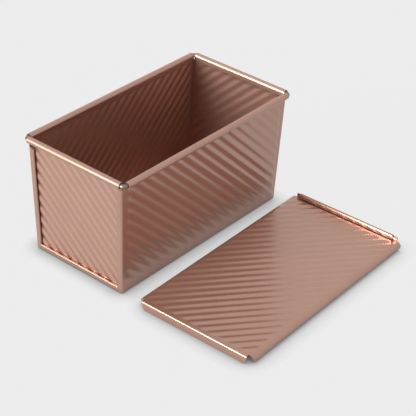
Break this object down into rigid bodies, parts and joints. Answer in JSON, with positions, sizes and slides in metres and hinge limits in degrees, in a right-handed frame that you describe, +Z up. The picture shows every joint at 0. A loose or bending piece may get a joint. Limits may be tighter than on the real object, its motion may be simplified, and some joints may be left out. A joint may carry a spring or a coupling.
{
  "type": "pullman loaf pan",
  "caption": "Deep straight-sided loaf pan of ribbed coated sheet steel with a rolled rim and a separate sliding flat lid.",
  "frame": {"origin": "centre of the pan's flat base, on the table", "axes": "+Z up from the base, +X along the pan's length away from the lid's stop flange end, +Y across the pan away from the lid"},
  "size_m": [0.2167, 0.2402, 0.109],
  "materials": {
    "coated_sheet": "satin champagne non-stick coating",
    "coated_lid_sheet": "satin champagne non-stick coating",
    "bare_wire": "dull drawn steel wire"
  },
  "bodies": {
    "pan": {"trough": "coated_sheet", "end_panel_near": "coated_sheet", "end_panel_far": "coated_sheet", "rim_wire": "bare_wire"},
    "lid": {"lid": "coated_lid_sheet"}
  },
  "joints": [
    {"name": "lid_slide", "type": "slide", "parent": "pan", "child": "lid", "axis": [-0.9998, -0.0209, 0], "range_m": [0, 0.213]}
  ]
}
